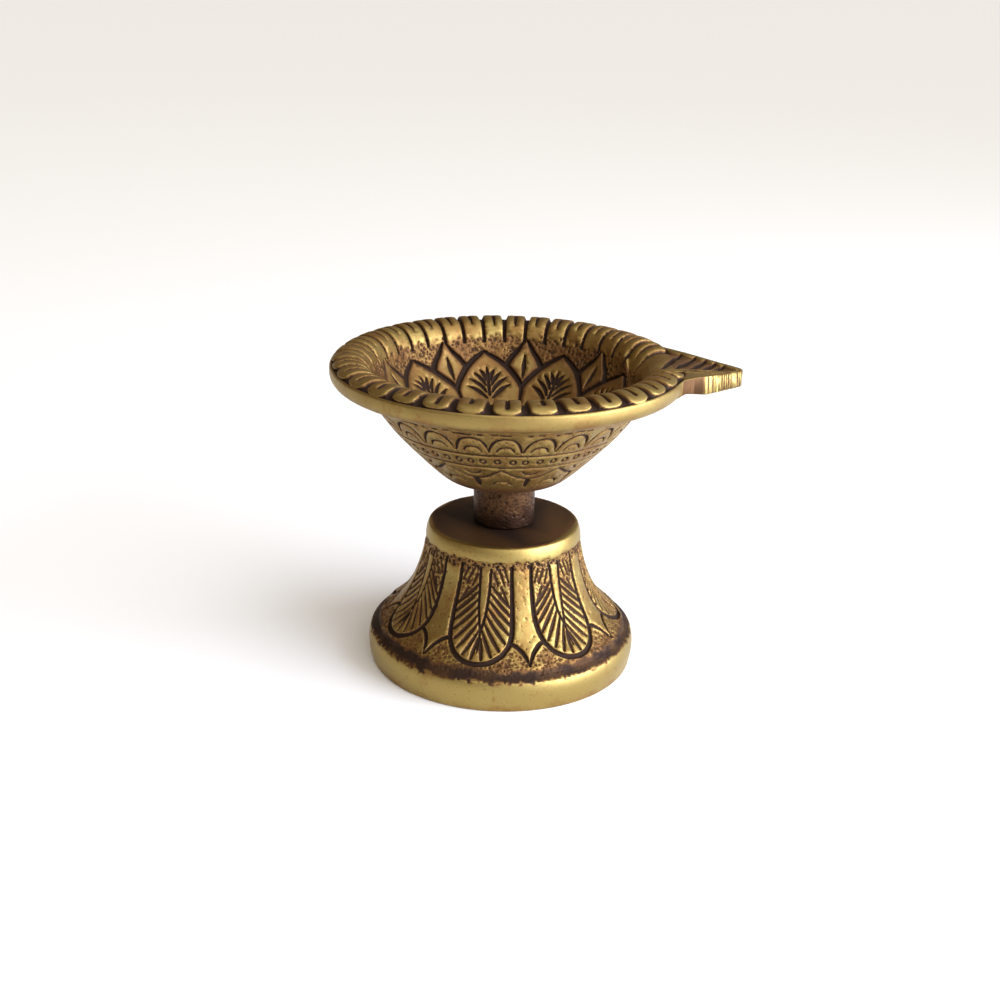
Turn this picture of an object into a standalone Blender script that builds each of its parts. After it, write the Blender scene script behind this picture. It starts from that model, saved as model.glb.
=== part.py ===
"""A small brass diya oil lamp: a carved bowl with a wick spout, on a short stem and a bell-shaped foot.

Metres, +Z up, standing on z = 0 with the spout towards +X. The bowl, the stem sleeve and the hollow
base are stacked on one threaded rod. The rod is screwed up into the bowl's underside,
and a nut and washer inside the base pull the stack tight. Turning the bowl unscrews it from the rod.
"""

import math

import bmesh
import bpy

MM = 0.001
GAP = 0.3  # between pieces that touch, and between a thread and its hole
FACETS = 60  # around each turned casting
ROUND_FACETS = 36  # around each small round piece

# Driving dimensions in millimetres. Radii are from the lamp's axis, heights from the table.
RIM_RADIUS = 33.05
SPOUT_REACH = 43.8  # from the axis to the tip of the spout
FOOT_RADIUS = 26.15
FOOT_OPENING_RADIUS = 22.4
DISC_TOP = 27.9  # flat top of the base, where the stem stands
DISC_RADIUS = 14.7
DISC_THICKNESS = 3.3
SHOULDER = 1.1  # radius of the disc's rounded edge
STEM_RADIUS = 5.9
STEM_LENGTH = 8.2
BASIN_FLOOR_RADIUS = 9.0
BASIN_FLOOR = 6.2  # above the bowl's seat

# The spout, above the bowl's seat
SPOUT_BOTTOM = 19.2
SPOUT_TOP = 22.9
SPOUT_NOSE_RADIUS = 2.2
SPOUT_HALF_ANGLE = math.radians(35)
SPOUT_CORNER_RADIUS = 6.0  # the hollow corner where it leaves the rim
SPOUT_BORDER = 1.3  # raised edge beside its channel
CHANNEL_FLOOR = 22.2
CHANNEL_START = 22.0  # from the axis, inside the ring

# M6 fastening
THREAD_RADIUS = 3.0
ROD_LENGTH = 25.3
ROD_BOTTOM = 16.0
ROD_CHAMFER = 0.5
BLIND_HOLE_DEPTH = 5.0
WASHER_RADIUS = 6.0
WASHER_BORE_RADIUS = 3.2
WASHER_THICKNESS = 1.6
NUT_ACROSS_FLATS = 10.0
NUT_THICKNESS = 5.0

STEM_BOTTOM = DISC_TOP + GAP
BOWL_SEAT = STEM_BOTTOM + STEM_LENGTH + GAP
WASHER_BOTTOM = DISC_TOP - DISC_THICKNESS - GAP - WASHER_THICKNESS
NUT_BOTTOM = WASHER_BOTTOM - GAP - NUT_THICKNESS
AXIS_X = (RIM_RADIUS - SPOUT_REACH) / 2  # puts the origin under the middle of the whole length


def clear_scene():
    for obj in list(bpy.data.objects):
        bpy.data.objects.remove(obj)


def principled(name, colour, metallic, roughness):
    material = bpy.data.materials.new(name)
    material.use_nodes = True
    shader = material.node_tree.nodes["Principled BSDF"]
    shader.inputs["Base Color"].default_value = (*colour, 1.0)
    shader.inputs["Metallic"].default_value = metallic
    shader.inputs["Roughness"].default_value = roughness
    return material


def arc(centre, radius, start, end, steps):
    """Points on an arc, from one angle to another in degrees."""
    angles = [math.radians(start + (end - start) * i / steps) for i in range(steps + 1)]
    return [(centre[0] + radius * math.cos(a), centre[1] + radius * math.sin(a)) for a in angles]


def smooth_through(points, steps):
    """A Catmull-Rom curve through the points, with this many steps between each two."""
    ends = [points[0], *points, points[-1]]
    curve = [points[0]]
    for before, start, end, after in zip(ends, ends[1:], ends[2:], ends[3:]):
        for i in range(1, steps + 1):
            t = i / steps
            curve.append(
                tuple(
                    0.5 * (2 * q + (r - p) * t + (2 * p - 5 * q + 4 * r - s) * t**2)
                    + 0.5 * (3 * q - p - 3 * r + s) * t**3
                    for p, q, r, s in zip(before, start, end, after)
                )
            )
    return curve


def base_section():
    """The bell and foot: down the outside, then up the hollow inside to the rod's hole."""
    shoulder = arc((DISC_RADIUS - SHOULDER, DISC_TOP - SHOULDER), SHOULDER, 90, 15, 3)
    bell = smooth_through([(14.95, 26.1), (15.5, 21.9), (16.6, 18.0), (18.1, 14.4), (20.2, 11.3), (22.8, 8.8)], 2)
    band = [(24.9, 7.1), (25.7, 6.0), (FOOT_RADIUS, 4.4), (FOOT_RADIUS, 2.4), (FOOT_RADIUS - 0.45, 0.0)]
    hollow = [(21.8, 5.0), (19.2, 8.4), (16.6, 11.6), (14.8, 15.4), (13.4, 20.0)]
    ceiling = DISC_TOP - DISC_THICKNESS
    bore = THREAD_RADIUS + GAP
    outside = [(bore, DISC_TOP)] + shoulder + bell + band
    return outside + [(FOOT_OPENING_RADIUS, 0.0)] + hollow + [(12.6, ceiling), (bore, ceiling)]


def bowl_section():
    """The bowl, above its seat: up the outside, over the ring, down the basin, and round the blind hole."""
    outside = [(7.3, 0.0), (9.6, 0.4), (11.4, 1.0)]
    outside += smooth_through([(12.6, 1.8), (14.5, 3.5), (17.1, 6.1), (19.6, 8.7), (21.9, 11.3), (26.8, 17.6)], 2)
    flange = [(29.8, 18.7), (31.9, 19.5), (32.7, 20.2), (RIM_RADIUS, 21.1), (RIM_RADIUS, 22.4), (32.5, 23.2)]
    ring = smooth_through([(31.2, 23.9), (29.3, 24.2), (27.2, 23.6), (25.6, 21.9), (24.2, 19.0), (22.9, 16.8)], 1)
    basin = [(21.0, 14.6), (18.0, 11.6), (14.4, 8.7), (11.4, 6.8), (BASIN_FLOOR_RADIUS, BASIN_FLOOR)]
    floor = [(0.0, BASIN_FLOOR)]
    hole = [(0.0, BLIND_HOLE_DEPTH), (THREAD_RADIUS, BLIND_HOLE_DEPTH), (THREAD_RADIUS, 0.0)]
    return outside + flange + ring + basin + floor + hole


def spout_half(reach, nose_radius, rim_radius, corner_radius, start):
    """One side of the spout in plan: hollow corner on the rim, straight side, and half of the round nose."""
    nose_centre = reach - nose_radius
    across = (math.sin(SPOUT_HALF_ANGLE), math.cos(SPOUT_HALF_ANGLE))
    # The corner's centre is corner_radius out from the rim and from the straight side.
    line = nose_centre * across[0] + nose_radius + corner_radius
    bearing = math.asin(line / (rim_radius + corner_radius)) - SPOUT_HALF_ANGLE
    centre = [(rim_radius + corner_radius) * f(bearing) for f in (math.cos, math.sin)]
    first = 180 + math.degrees(bearing)
    last = 270 - math.degrees(SPOUT_HALF_ANGLE)
    corner = arc(centre, corner_radius, first, last, 4)
    nose = arc((nose_centre, 0.0), nose_radius, 90 - math.degrees(SPOUT_HALF_ANGLE), 0, 3)
    return [(start, corner[0][1] * start / corner[0][0])] + corner + nose


def mirrored(half):
    """A closed outline from one side that ends on the X axis."""
    return half + [(x, -y) for x, y in reversed(half[:-1])]


def new_object(name, mesh_builder, material, parent, height):
    """An object on the lamp's axis at this height, whose mesh is the finished bmesh in millimetres."""
    bmesh.ops.remove_doubles(mesh_builder, verts=mesh_builder.verts, dist=0.0005)
    bmesh.ops.recalc_face_normals(mesh_builder, faces=mesh_builder.faces)
    bmesh.ops.scale(mesh_builder, verts=mesh_builder.verts, vec=(MM, MM, MM))
    mesh = bpy.data.meshes.new(name)
    mesh_builder.to_mesh(mesh)
    mesh_builder.free()
    mesh.shade_smooth()
    mesh.set_sharp_from_angle(angle=math.radians(35))
    obj = bpy.data.objects.new(name, mesh)
    bpy.context.scene.collection.objects.link(obj)
    if material:
        mesh.materials.append(material)
    else:
        obj.hide_render = True
        obj.display_type = "WIRE"
    obj.parent = parent
    obj.location.z = height * MM - parent.location.z
    return obj


def turned(name, section, material, parent, height, facets=ROUND_FACETS):
    """A closed section of (radius, height) points spun round the lamp's axis."""
    builder = bmesh.new()
    points = [builder.verts.new((radius, 0.0, z)) for radius, z in section]
    edges = [builder.edges.new(pair) for pair in zip(points, points[1:] + points[:1])]
    bmesh.ops.spin(
        builder,
        geom=points + edges,
        cent=(0, 0, 0),
        axis=(0, 0, 1),
        angle=2 * math.pi,
        steps=facets,
        use_merge=True,
    )
    return new_object(name, builder, material, parent, height)


def extruded(name, outline, low, high, material, parent, height):
    """A closed plan outline between two heights."""
    builder = bmesh.new()
    face = builder.faces.new([builder.verts.new((x, y, low)) for x, y in outline])
    raised = bmesh.ops.extrude_face_region(builder, geom=[face])["geom"]
    corners = [item for item in raised if isinstance(item, bmesh.types.BMVert)]
    bmesh.ops.translate(builder, verts=corners, vec=(0, 0, high - low))
    return new_object(name, builder, material, parent, height)


def boolean(obj, operation, other):
    modifier = obj.modifiers.new(other.name, "BOOLEAN")
    modifier.operation = operation
    modifier.object = other


def make_base(brass, axis):
    turned("base_bell", base_section(), brass, axis, 0.0, FACETS)


def make_bowl(brass, axis):
    bowl = turned("bowl", bowl_section(), brass, axis, BOWL_SEAT, FACETS)
    outline = mirrored(spout_half(SPOUT_REACH, SPOUT_NOSE_RADIUS, RIM_RADIUS - 0.1, SPOUT_CORNER_RADIUS, 28.0))
    block = extruded("spout_block", outline, SPOUT_BOTTOM, SPOUT_TOP, None, axis, BOWL_SEAT)
    inner = mirrored(
        spout_half(
            SPOUT_REACH - SPOUT_BORDER,
            SPOUT_NOSE_RADIUS - SPOUT_BORDER,
            RIM_RADIUS - SPOUT_BORDER,
            SPOUT_CORNER_RADIUS,
            CHANNEL_START,
        )
    )
    cutter = extruded("channel_cutter", inner, CHANNEL_FLOOR, SPOUT_TOP + 4, None, axis, BOWL_SEAT)
    boolean(bowl, "UNION", block)
    boolean(bowl, "DIFFERENCE", cutter)


def make_stem(brass, axis):
    bore = THREAD_RADIUS + GAP
    section = [(bore, 0.0), (STEM_RADIUS, 0.0), (STEM_RADIUS, STEM_LENGTH), (bore, STEM_LENGTH)]
    turned("stem_sleeve", section, brass, axis, STEM_BOTTOM)


def make_tie_rod(steel, axis):
    radius = THREAD_RADIUS - GAP
    narrow = radius - ROD_CHAMFER
    section = [(0.0, 0.0), (narrow, 0.0), (radius, ROD_CHAMFER), (radius, ROD_LENGTH - ROD_CHAMFER)]
    section += [(narrow, ROD_LENGTH), (0.0, ROD_LENGTH)]
    turned("tie_rod", section, steel, axis, ROD_BOTTOM)


def make_washer(steel, axis):
    section = [(WASHER_BORE_RADIUS, 0.0), (WASHER_RADIUS, 0.0)]
    section += [(radius, WASHER_THICKNESS) for radius, _ in reversed(section)]
    turned("flat_washer", section, steel, axis, WASHER_BOTTOM)


def make_nut(steel, axis):
    hexagon = arc((0.0, 0.0), NUT_ACROSS_FLATS / math.sqrt(3), 0, 300, 5)
    nut = extruded("hex_nut", hexagon, 0.0, NUT_THICKNESS, steel, axis, NUT_BOTTOM)
    hole = arc((0.0, 0.0), THREAD_RADIUS, 0, 360 - 360 / ROUND_FACETS, ROUND_FACETS - 1)
    cutter = extruded("nut_hole_cutter", hole, -1.0, NUT_THICKNESS + 1, None, axis, NUT_BOTTOM)
    boolean(nut, "DIFFERENCE", cutter)


def axis_empty(name, height):
    empty = bpy.data.objects.new(name, None)
    empty.location = (AXIS_X * MM, 0.0, height * MM)
    bpy.context.scene.collection.objects.link(empty)
    return empty


def main():
    clear_scene()
    polished = principled("cast_brass_base", (0.52, 0.38, 0.15), 1.0, 0.34)
    carved = principled("cast_brass_bowl", (0.48, 0.34, 0.13), 1.0, 0.34)
    browned = principled("brown_brass_tube", (0.25, 0.14, 0.07), 1.0, 0.5)
    steel = principled("zinc_plated_steel", (0.55, 0.55, 0.53), 1.0, 0.4)
    lamp_axis = axis_empty("lamp_axis", 0.0)
    screw_axis = axis_empty("screw_axis", BOWL_SEAT)
    make_base(polished, lamp_axis)
    make_tie_rod(steel, lamp_axis)
    make_washer(steel, lamp_axis)
    make_nut(steel, lamp_axis)
    make_stem(browned, screw_axis)
    make_bowl(carved, screw_axis)


main()
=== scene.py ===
"""A small hand-carved brass diya: bowl with a wick spout, stem tube and bell-shaped foot on a threaded rod.

Laid out as a Blender add-on and run as a script. Every piece is built in millimetres round the lamp's own
axis, carved by moving its vertices along their normals, and then set in place in metres. Outlines are
(radius, height). On a carved face, a place is a bearing in degrees from the front towards the spout, and
"along" in millimetres down the outline from where it starts.
"""

import math

import bmesh
import bpy
import numpy as np
from bpy.props import FloatProperty, FloatVectorProperty, PointerProperty
from mathutils import Matrix, Vector


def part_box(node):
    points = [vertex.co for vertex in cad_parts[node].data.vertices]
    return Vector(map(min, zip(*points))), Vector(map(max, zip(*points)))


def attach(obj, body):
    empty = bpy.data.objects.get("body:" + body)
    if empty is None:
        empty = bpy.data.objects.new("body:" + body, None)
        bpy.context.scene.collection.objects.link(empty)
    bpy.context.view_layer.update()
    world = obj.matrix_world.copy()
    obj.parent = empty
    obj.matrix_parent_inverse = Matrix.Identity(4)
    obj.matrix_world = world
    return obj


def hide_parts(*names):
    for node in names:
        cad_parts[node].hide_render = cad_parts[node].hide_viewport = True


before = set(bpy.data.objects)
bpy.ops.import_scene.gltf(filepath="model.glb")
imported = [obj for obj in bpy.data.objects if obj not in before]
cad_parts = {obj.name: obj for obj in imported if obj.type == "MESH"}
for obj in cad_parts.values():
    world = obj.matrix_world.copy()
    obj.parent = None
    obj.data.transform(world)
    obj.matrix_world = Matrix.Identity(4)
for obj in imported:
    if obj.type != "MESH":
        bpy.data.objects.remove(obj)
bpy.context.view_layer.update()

bl_info = {
    "name": "Carved Brass Diya",
    "version": (1, 0, 0),
    "blender": (4, 5, 0),
    "location": "View3D > Sidebar > Diya",
    "description": "Builds a hand-carved brass oil lamp from its castings, tube and fastening",
    "category": "Add Mesh",
}

MM = 0.001

# Places taken from the frame, in millimetres
BOWL_LOW, BOWL_HIGH = (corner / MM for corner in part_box("bowl"))
BASE_LOW, BASE_HIGH = (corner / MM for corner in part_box("base_bell"))
STEM_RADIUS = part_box("stem_sleeve")[1].y / MM
ROD_LOW, ROD_HIGH = (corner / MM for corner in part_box("tie_rod"))
WASHER_LOW, WASHER_HIGH = (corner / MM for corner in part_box("flat_washer"))
NUT_LOW, NUT_HIGH = (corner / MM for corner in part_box("hex_nut"))
AXIS_X = (BASE_LOW.x + BASE_HIGH.x) / 2
SEAT = BOWL_LOW.z
DISC_TOP = BASE_HIGH.z
RIM_RADIUS = BOWL_HIGH.y
SPOUT_REACH = BOWL_HIGH.x - AXIS_X
FOOT_RADIUS = BASE_HIGH.y
MOST_TRIANGLES = 190_000  # a casting's mesh after thinning
TURN_STEPS = 240  # round a casting before it is remeshed
HOLE_RADIUS = 3.3  # of the castings' holes for the M6 rod
BORE_RADIUS = 3.2  # of the stem tube and the washer
ON_OUTLINE = 0.35  # a vertex further from the outline isn't on the face being carved


# --- Colours and materials ---------------------------------------------------------------------


def linear(hex_colour):
    """Linear RGB of an sRGB hex colour such as "C8A25A"."""
    channels = [int(hex_colour[i : i + 2], 16) / 255 for i in (0, 2, 4)]
    return tuple(c / 12.92 if c <= 0.04045 else ((c + 0.055) / 1.055) ** 2.4 for c in channels)


def add_node(tree, kind, settings=None, **links):
    """Adds a node, gives it its settings, and links or fills its inputs by name."""
    node = tree.nodes.new(kind)
    for name, value in (settings or {}).items():
        setattr(node, name, value)
    for name, value in links.items():
        key = int(name[1:]) if name[0] == "i" and name[1:].isdigit() else name.replace("_", " ")
        if isinstance(value, bpy.types.NodeSocket):
            tree.links.new(value, node.inputs[key])
        else:
            node.inputs[key].default_value = value
    return node


def set_ramp(node, stops):
    """Colour stops of (place, colour) on a Color Ramp."""
    ramp = node.color_ramp
    while len(ramp.elements) > 1:
        ramp.elements.remove(ramp.elements[-1])
    for i, (place, colour) in enumerate(stops):
        stop = ramp.elements[0] if i == 0 else ramp.elements.new(place)
        stop.position = place
        stop.color = (*colour, 1.0)


def new_material(name):
    material = bpy.data.materials.new(name)
    material.use_nodes = True
    return material, material.node_tree, material.node_tree.nodes["Principled BSDF"]


def carved_brass(name, look):
    """Cast brass, cut by hand and left to darken.

    The faces that hands rub stay pale and fairly smooth, and tarnish to warm brown in soft clouds. The
    cuts hold a dull, nearly black-brown oxide, which is why the carving reads so strongly.
    """
    material, tree, shader = new_material(name)
    place = add_node(tree, "ShaderNodeTexCoord").outputs["Object"]
    # The stain attribute holds real oxide and tarnish, and also painted shade on the disc and round the
    # basin's channels.
    stain_and_shade = add_node(tree, "ShaderNodeAttribute", {"attribute_name": "stain_and_shade"}).outputs["Fac"]
    polish = add_node(tree, "ShaderNodeAttribute", {"attribute_name": "polish"}).outputs["Fac"]

    # Clouds of tarnish 5 mm across, mottling of 1 mm, and specks of 0.4 mm.
    clouds = add_node(tree, "ShaderNodeTexNoise", Vector=place, Scale=200.0, Detail=4.0, Roughness=0.62)
    specks = add_node(tree, "ShaderNodeTexNoise", Vector=place, Scale=2400.0, Detail=3.0, Roughness=0.7)
    mottle = add_node(tree, "ShaderNodeTexNoise", Vector=place, Scale=1000.0, Detail=4.0, Roughness=0.75)
    clouds, specks, mottle = (noise.outputs["Fac"] for noise in (clouds, specks, mottle))
    mapped, maths, mix = "ShaderNodeMapRange", "ShaderNodeMath", "ShaderNodeMix"
    colours = {"data_type": "RGBA"}

    # Tarnish: pale brass turns warm in the clouds and the mottling, and less where it is polished.
    tarnish = add_node(tree, mapped, Value=clouds, From_Min=0.38, From_Max=0.72).outputs["Result"]
    spots = add_node(tree, mapped, Value=mottle, From_Min=0.5, From_Max=0.68, To_Max=0.45).outputs["Result"]
    patchy = add_node(tree, maths, {"operation": "ADD"}, i0=tarnish, i1=spots).outputs["Value"]
    warmed = add_node(tree, maths, {"operation": "SUBTRACT"}, i0=patchy, i1=polish).outputs["Value"]
    pale, warm = (*look.pale_brass, 1.0), (*look.warm_brass, 1.0)
    brass = add_node(tree, mix, colours, Factor=warmed, i6=pale, i7=warm).outputs[2]

    # Grime and painted shade: the stain attribute, which holds the cuts' oxide and also painted shade, and
    # the specks, brown where it is thin and the oxide's colour where thick.
    dots = add_node(tree, mapped, Value=specks, From_Min=0.6, From_Max=0.72).outputs["Result"]
    speckled = add_node(tree, maths, {"operation": "MULTIPLY"}, i0=dots, i1=0.4).outputs["Value"]
    grime_and_shade = add_node(tree, maths, {"operation": "MAXIMUM"}, i0=stain_and_shade, i1=speckled).outputs["Value"]
    thin = add_node(tree, mapped, Value=grime_and_shade, From_Min=0.04, From_Max=0.38).outputs["Result"]
    thick = add_node(tree, mapped, Value=grime_and_shade, From_Min=0.34, From_Max=0.8).outputs["Result"]
    brown, black = (*look.brown_brass, 1.0), (*look.oxide, 1.0)
    browned = add_node(tree, mix, colours, Factor=thin, i6=brass, i7=brown).outputs[2]
    coated = add_node(tree, mix, colours, Factor=thick, i6=browned, i7=black)
    tree.links.new(coated.outputs[2], shader.inputs["Base Color"])

    metal = add_node(tree, mapped, Value=grime_and_shade, From_Min=0.08, From_Max=0.8, To_Min=1.0, To_Max=0.65)
    tree.links.new(metal.outputs["Result"], shader.inputs["Metallic"])
    scaled = {"operation": "MULTIPLY_ADD"}
    smooth = add_node(tree, mapped, Value=polish, To_Min=0.4, To_Max=0.33).outputs["Result"]
    dulled = add_node(tree, maths, scaled, i0=grime_and_shade, i1=0.28, i2=smooth).outputs["Value"]
    rough = add_node(tree, maths, scaled, i0=clouds, i1=0.12, i2=dulled)
    tree.links.new(rough.outputs["Value"], shader.inputs["Roughness"])

    # Cast skin and tool chatter, a few hundredths of a millimetre deep: too shallow for the mesh.
    bump = add_node(tree, "ShaderNodeBump", Strength=0.5, Distance=0.03 * MM, Height=specks)
    tree.links.new(bump.outputs["Normal"], shader.inputs["Normal"])
    return material


def browned_tube(name, look):
    """Drawn brass tube, heat-browned: a dull coppery film, with darker blooms of 4 mm and pits."""
    material, tree, shader = new_material(name)
    place = add_node(tree, "ShaderNodeTexCoord").outputs["Object"]
    # The stain attribute holds the dark joints at the tube's ends and painted shade over its lower part.
    stain_and_shade = add_node(tree, "ShaderNodeAttribute", {"attribute_name": "stain_and_shade"}).outputs["Fac"]
    noise = add_node(tree, "ShaderNodeTexNoise", Vector=place, Scale=240.0, Detail=6.0, Roughness=0.72)
    blooms = noise.outputs["Fac"]
    mixed = add_node(tree, "ShaderNodeMath", {"operation": "MULTIPLY_ADD"}, i0=blooms, i1=0.75, i2=stain_and_shade)
    shade = add_node(tree, "ShaderNodeValToRGB", Fac=mixed.outputs["Value"])
    set_ramp(shade, [(0.3, look.copper_brown), (0.66, look.oxide)])
    tree.links.new(shade.outputs["Color"], shader.inputs["Base Color"])
    shader.inputs["Metallic"].default_value = 0.85
    rough = add_node(tree, "ShaderNodeMapRange", Value=blooms, To_Min=0.38, To_Max=0.6)
    tree.links.new(rough.outputs["Result"], shader.inputs["Roughness"])
    bump = add_node(tree, "ShaderNodeBump", Strength=0.5, Distance=0.04 * MM, Height=blooms)
    tree.links.new(bump.outputs["Normal"], shader.inputs["Normal"])
    return material


def dull_zinc(name, look):
    """Zinc-plated steel: cool grey, satin, in clouds of 1.7 mm where the plating has dulled."""
    material, tree, shader = new_material(name)
    place = add_node(tree, "ShaderNodeTexCoord").outputs["Object"]
    noise = add_node(tree, "ShaderNodeTexNoise", Vector=place, Scale=600.0, Detail=4.0, Roughness=0.6)
    clouds = noise.outputs["Fac"]
    bright = (*look.zinc, 1.0)
    dull = (*(0.6 * c for c in look.zinc), 1.0)
    colour = add_node(tree, "ShaderNodeMix", {"data_type": "RGBA"}, Factor=clouds, i6=bright, i7=dull)
    tree.links.new(colour.outputs[2], shader.inputs["Base Color"])
    shader.inputs["Metallic"].default_value = 1.0
    rough = add_node(tree, "ShaderNodeMapRange", Value=clouds, To_Min=0.28, To_Max=0.5)
    tree.links.new(rough.outputs["Result"], shader.inputs["Roughness"])
    return material


def pale_paper(name, look):
    """Seamless white background paper: matt, with no texture that the lens resolves."""
    material, _, shader = new_material(name)
    shader.inputs["Base Color"].default_value = (*look.paper, 1.0)
    shader.inputs["Roughness"].default_value = 0.9
    shader.inputs["Specular IOR Level"].default_value = 0.2
    return material


# --- Outlines ----------------------------------------------------------------------------------


def smooth_through(points, steps):
    """A smooth curve through the points, with this many steps between each two."""
    ends = [points[0], *points, points[-1]]
    curve = [tuple(points[0])]
    for before, start, end, after in zip(ends, ends[1:], ends[2:], ends[3:]):
        for i in range(1, steps + 1):
            t = i / steps
            curve.append(
                tuple(
                    0.5 * (2 * q + (r - p) * t + (2 * p - 5 * q + 4 * r - s) * t**2)
                    + 0.5 * (3 * q - p - 3 * r + s) * t**3
                    for p, q, r, s in zip(before, start, end, after)
                )
            )
    return curve


def arc(centre, radius, start, end, steps):
    """Points on an arc, from one angle to another in degrees."""
    angles = [math.radians(start + (end - start) * i / steps) for i in range(steps + 1)]
    return [(centre[0] + radius * math.cos(a), centre[1] + radius * math.sin(a)) for a in angles]


def bowl_outside():
    """From the band's upper edge down the outside to the seat, as (radius, height)."""
    band = [(RIM_RADIUS, 22.4), (RIM_RADIUS, 21.1), (32.7, 20.2), (31.9, 19.5), (29.8, 18.7)]
    wall = [(26.8, 17.6), (21.9, 11.3), (19.6, 8.7), (17.1, 6.1), (14.5, 3.5), (12.6, 1.8), (11.4, 1.0)]
    foot = [(9.6, 0.4), (7.3, 0.0)]
    return [(r, SEAT + z) for r, z in smooth_through(band + wall + foot, 6)]


def bowl_inside():
    """From the band's upper edge over the ring and down the basin to its floor, as (radius, height)."""
    ring = [(RIM_RADIUS, 22.4), (32.5, 23.2), (31.2, 23.9), (29.3, 24.2), (27.2, 23.6), (25.6, 21.9)]
    basin = [(24.2, 19.0), (22.9, 16.8), (21.0, 14.6), (18.0, 11.6), (14.4, 8.7), (11.4, 6.8), (9.0, 6.2)]
    return [(r, SEAT + z) for r, z in smooth_through(ring + basin, 6)]


def base_outside():
    """From the edge of the disc down the bell and the foot to the table, as (radius, height)."""
    bell = [(14.5, 27.6), (14.95, 26.1), (15.5, 21.9), (16.6, 18.0), (18.1, 14.4), (20.2, 11.3)]
    cove = [(22.8, 8.8), (24.9, 7.1)]
    band = [(25.7, 6.0), (FOOT_RADIUS, 4.4), (FOOT_RADIUS, 2.4), (25.7, 0.0)]
    return smooth_through(bell + cove + band, 6)


def spout_half(reach, nose, half_angle, rim, corner):
    """One side of the spout in plan: hollow corner on the rim, straight side, and half of the round nose.

    The side leans from the middle line by half_angle degrees. The other sizes are radii in mm.
    """
    tilt = math.radians(half_angle)
    line = (reach - nose) * math.sin(tilt) + nose + corner
    bearing = math.asin(line / (rim + corner)) - tilt
    centre = [(rim + corner) * f(bearing) for f in (math.cos, math.sin)]
    hollow = arc(centre, corner, 180 + math.degrees(bearing), 270 - half_angle, 8)
    return hollow + arc((reach - nose, 0.0), nose, 90 - half_angle, 0, 6)


# --- Meshes ------------------------------------------------------------------------------------


def spun(outline, steps):
    """A bmesh of a closed outline turned round the axis."""
    builder = bmesh.new()
    points = [builder.verts.new((radius, 0.0, height)) for radius, height in outline]
    edges = [builder.edges.new(pair) for pair in zip(points, points[1:] + points[:1])]
    bmesh.ops.spin(
        builder,
        geom=points + edges,
        cent=(0, 0, 0),
        axis=(0, 0, 1),
        angle=2 * math.pi,
        steps=steps,
        use_merge=True,
    )
    bmesh.ops.remove_doubles(builder, verts=builder.verts, dist=0.0005)
    bmesh.ops.recalc_face_normals(builder, faces=builder.faces)
    return builder


def plate(outline, low, high, builder):
    """A plan outline given thickness, added to a bmesh. Low and high are heights."""
    face = builder.faces.new([builder.verts.new((x, y, low)) for x, y in outline])
    raised = bmesh.ops.extrude_face_region(builder, geom=[face])["geom"]
    corners = [item for item in raised if isinstance(item, bmesh.types.BMVert)]
    bmesh.ops.translate(builder, verts=corners, vec=(0, 0, high - low))
    bmesh.ops.recalc_face_normals(builder, faces=builder.faces)


def finished(mesh, modifiers):
    """The mesh with these modifiers applied, as (type, settings) pairs."""
    obj = bpy.data.objects.new("work", mesh)
    bpy.context.scene.collection.objects.link(obj)
    for kind, settings in modifiers:
        modifier = obj.modifiers.new(kind, kind)
        for name, value in settings.items():
            setattr(modifier, name, value)
    graph = bpy.context.evaluated_depsgraph_get()
    made = bpy.data.meshes.new_from_object(obj.evaluated_get(graph))
    bpy.data.objects.remove(obj)
    bpy.data.meshes.remove(mesh)
    return made


def even_mesh(builder, grain):
    """One closed skin of small even faces round everything in the bmesh."""
    mesh = bpy.data.meshes.new("even")
    builder.to_mesh(mesh)
    builder.free()
    shrunk = {"mode": "VOXEL", "voxel_size": grain, "adaptivity": 0.0}
    return finished(mesh, [("REMESH", shrunk), ("SMOOTH", {"factor": 0.5, "iterations": 4})])


def thinned(mesh, most):
    """The mesh with at most this many triangles, kept where the surface bends."""
    mesh.calc_loop_triangles()
    count = len(mesh.loop_triangles)
    if count <= most:
        return mesh
    return finished(mesh, [("DECIMATE", {"decimate_type": "COLLAPSE", "ratio": most / count})])


def add_piece(name, mesh, material, body, node):
    """Sets a finished millimetre mesh in place in metres, gives it its body and its material's slot, and
    hides the frame's part that it stands for.
    """
    mesh.transform(Matrix.Translation((AXIS_X * MM, 0, 0)) @ Matrix.Scale(MM, 4))
    mesh.materials.clear()
    mesh.materials.append(material)
    mesh.shade_smooth()
    mesh.name = name
    piece = bpy.data.objects.new(name, mesh)
    bpy.context.scene.collection.objects.link(piece)
    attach(piece, body)
    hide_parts(node)
    return piece


# --- Carving -----------------------------------------------------------------------------------


def ease(low, high, value):
    """0 below low, 1 above high, and a smooth step between them."""
    t = np.clip((value - low) / (high - low), 0.0, 1.0)
    return t * t * (3.0 - 2.0 * t)


def fold(bearing, count, first, wander, seed):
    """Degrees from the nearest of count evenly laid motifs, and which one it is.

    Each motif is off its place by up to wander degrees, as when it is stepped out by hand.
    """
    pitch = 360.0 / count
    which = np.round((bearing - first) / pitch).astype(int) % count
    shift = np.random.default_rng(seed).uniform(-wander, wander, count)[which]
    offset = (bearing - first - which * pitch + 180.0) % 360.0 - 180.0
    return offset - shift, which


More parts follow.
